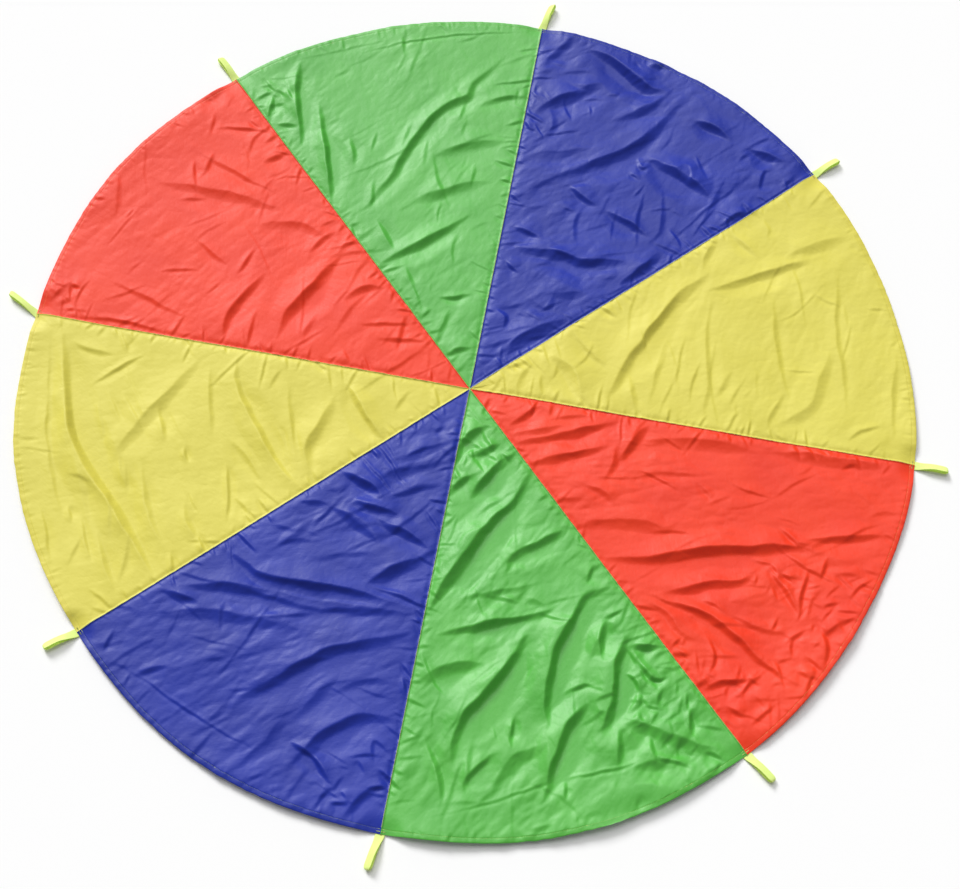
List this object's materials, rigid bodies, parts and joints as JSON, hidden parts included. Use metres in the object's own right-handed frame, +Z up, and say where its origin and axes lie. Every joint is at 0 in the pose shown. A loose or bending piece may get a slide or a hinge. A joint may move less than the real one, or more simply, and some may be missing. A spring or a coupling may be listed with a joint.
{
  "type": "play parachute",
  "caption": "Round play parachute of coloured cloth gores laid out face up, with webbing loop handles at the seam ends; it folds in half.",
  "frame": {"origin": "centre of the laid-out canopy, on the floor it lies on", "axes": "+Z up, out of the canopy's face; +X along seam 1 and handle 1, between the yellow gore 1 and the red gore 8; seams, handles and gores are numbered anticlockwise seen from above"},
  "size_m": [2.15, 2.15, 0.0122],
  "materials": {
    "yellow_taffeta": "woven polyester taffeta, slightly glossy",
    "blue_taffeta": "woven polyester taffeta, slightly glossy",
    "green_taffeta": "woven polyester taffeta, slightly glossy",
    "red_taffeta": "woven polyester taffeta, slightly glossy",
    "webbing": "neon woven polypropylene webbing, matt",
    "thread": "polyester sewing thread"
  },
  "bodies": {
    "far_half": {"gore_1_yellow": "yellow_taffeta", "gore_2_blue": "blue_taffeta", "gore_3_green": "green_taffeta", "gore_4_red": "red_taffeta", "hem_stitching_1": "thread", "hem_stitching_2": "thread", "hem_stitching_3": "thread", "hem_stitching_4": "thread", "seam_stitching_1": "thread", "seam_stitching_2": "thread", "seam_stitching_3": "thread", "seam_stitching_4": "thread", "seam_stitching_5": "thread", "handle_tail_1": "webbing", "handle_tail_2": "webbing", "handle_tail_3": "webbing", "handle_tail_4": "webbing", "handle_tail_5": "webbing", "bar_tack_1_left": "thread", "bar_tack_2_right": "thread", "bar_tack_2_left": "thread", "bar_tack_3_right": "thread", "bar_tack_3_left": "thread", "bar_tack_4_right": "thread", "bar_tack_4_left": "thread", "bar_tack_5_right": "thread", "centre_tack": "thread"},
    "near_half": {"gore_5_yellow": "yellow_taffeta", "gore_6_blue": "blue_taffeta", "gore_7_green": "green_taffeta", "gore_8_red": "red_taffeta", "hem_stitching_5": "thread", "hem_stitching_6": "thread", "hem_stitching_7": "thread", "hem_stitching_8": "thread", "seam_stitching_6": "thread", "seam_stitching_7": "thread", "seam_stitching_8": "thread", "handle_tail_6": "webbing", "handle_tail_7": "webbing", "handle_tail_8": "webbing", "bar_tack_5_left": "thread", "bar_tack_6_right": "thread", "bar_tack_6_left": "thread", "bar_tack_7_right": "thread", "bar_tack_7_left": "thread", "bar_tack_8_right": "thread", "bar_tack_8_left": "thread", "bar_tack_1_right": "thread"},
    "handle_1": {"handle_loop_1": "webbing"},
    "handle_2": {"handle_loop_2": "webbing"},
    "handle_3": {"handle_loop_3": "webbing"},
    "handle_4": {"handle_loop_4": "webbing"},
    "handle_5": {"handle_loop_5": "webbing"},
    "handle_6": {"handle_loop_6": "webbing"},
    "handle_7": {"handle_loop_7": "webbing"},
    "handle_8": {"handle_loop_8": "webbing"}
  },
  "joints": [
    {"name": "fold_in_half", "type": "hinge", "parent": "far_half", "child": "near_half", "pos_m": [0, 0, 0.0157], "axis": [-1, 0, 0], "range_deg": [0, 180]},
    {"name": "handle_1_flip", "type": "hinge", "parent": "far_half", "child": "handle_1", "pos_m": [1.002, 0, 0.0037], "axis": [0, 1, 0], "range_deg": [-150, 0]},
    {"name": "handle_2_flip", "type": "hinge", "parent": "far_half", "child": "handle_2", "pos_m": [0.70852, 0.70852, 0.0037], "axis": [-0.7071, 0.7071, 0], "range_deg": [-150, 0]},
    {"name": "handle_3_flip", "type": "hinge", "parent": "far_half", "child": "handle_3", "pos_m": [0, 1.002, 0.0037], "axis": [-1, 0, 0], "range_deg": [-150, 0]},
    {"name": "handle_4_flip", "type": "hinge", "parent": "far_half", "child": "handle_4", "pos_m": [-0.70852, 0.70852, 0.0037], "axis": [-0.7071, -0.7071, 0], "range_deg": [-150, 0]},
    {"name": "handle_5_flip", "type": "hinge", "parent": "far_half", "child": "handle_5", "pos_m": [-1.002, 0, 0.0037], "axis": [0, -1, 0], "range_deg": [-150, 0]},
    {"name": "handle_6_flip", "type": "hinge", "parent": "near_half", "child": "handle_6", "pos_m": [-0.70852, -0.70852, 0.0037], "axis": [0.7071, -0.7071, 0], "range_deg": [-150, 0]},
    {"name": "handle_7_flip", "type": "hinge", "parent": "near_half", "child": "handle_7", "pos_m": [0, -1.002, 0.0037], "axis": [1, 0, 0], "range_deg": [-150, 0]},
    {"name": "handle_8_flip", "type": "hinge", "parent": "near_half", "child": "handle_8", "pos_m": [0.70852, -0.70852, 0.0037], "axis": [0.7071, 0.7071, 0], "range_deg": [-150, 0]}
  ]
}
